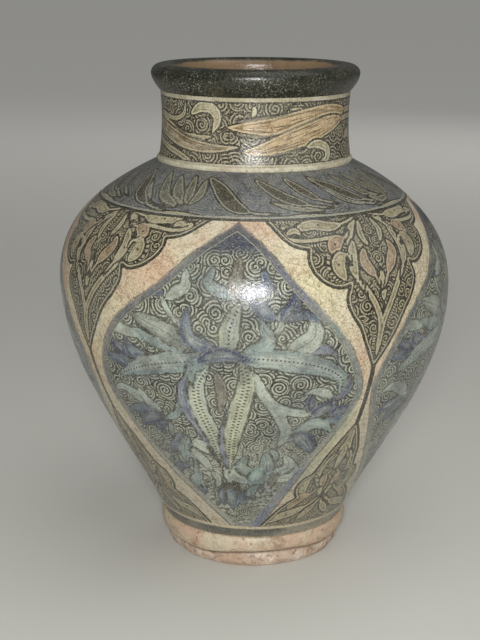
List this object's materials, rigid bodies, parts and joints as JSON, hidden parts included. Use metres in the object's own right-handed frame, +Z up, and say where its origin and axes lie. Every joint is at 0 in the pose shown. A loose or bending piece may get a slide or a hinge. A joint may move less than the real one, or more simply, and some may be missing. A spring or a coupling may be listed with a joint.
{
  "type": "storage jar",
  "caption": "Round-bodied stonepaste storage jar with a rolled foot, broad shoulder, short upright neck and thick everted rim, glazed and painted in blue and black.",
  "frame": {"origin": "on the floor, at the middle of the foot ring", "axes": "+Z up along the jar's axis; the middle of the painted front panel faces 11 degrees to the left of -Y"},
  "size_m": [0.261, 0.261, 0.33],
  "materials": {
    "bare_clay": "unglazed, chalky pink-buff stonepaste",
    "cream_glaze": "worn cream glaze, crazed",
    "painted_body": "painted in blue and black under a crazed clear glaze",
    "painted_neck": "painted in black under a crazed clear glaze",
    "black_glaze": "glossy black glaze, pitted"
  },
  "bodies": {
    "root": {"foot_ring": "bare_clay", "foot_collar": "cream_glaze", "lower_bowl": "painted_body", "upper_dome": "painted_body", "neck_coil": "cream_glaze", "neck": "painted_neck", "rim": "black_glaze"}
  },
  "joints": []
}
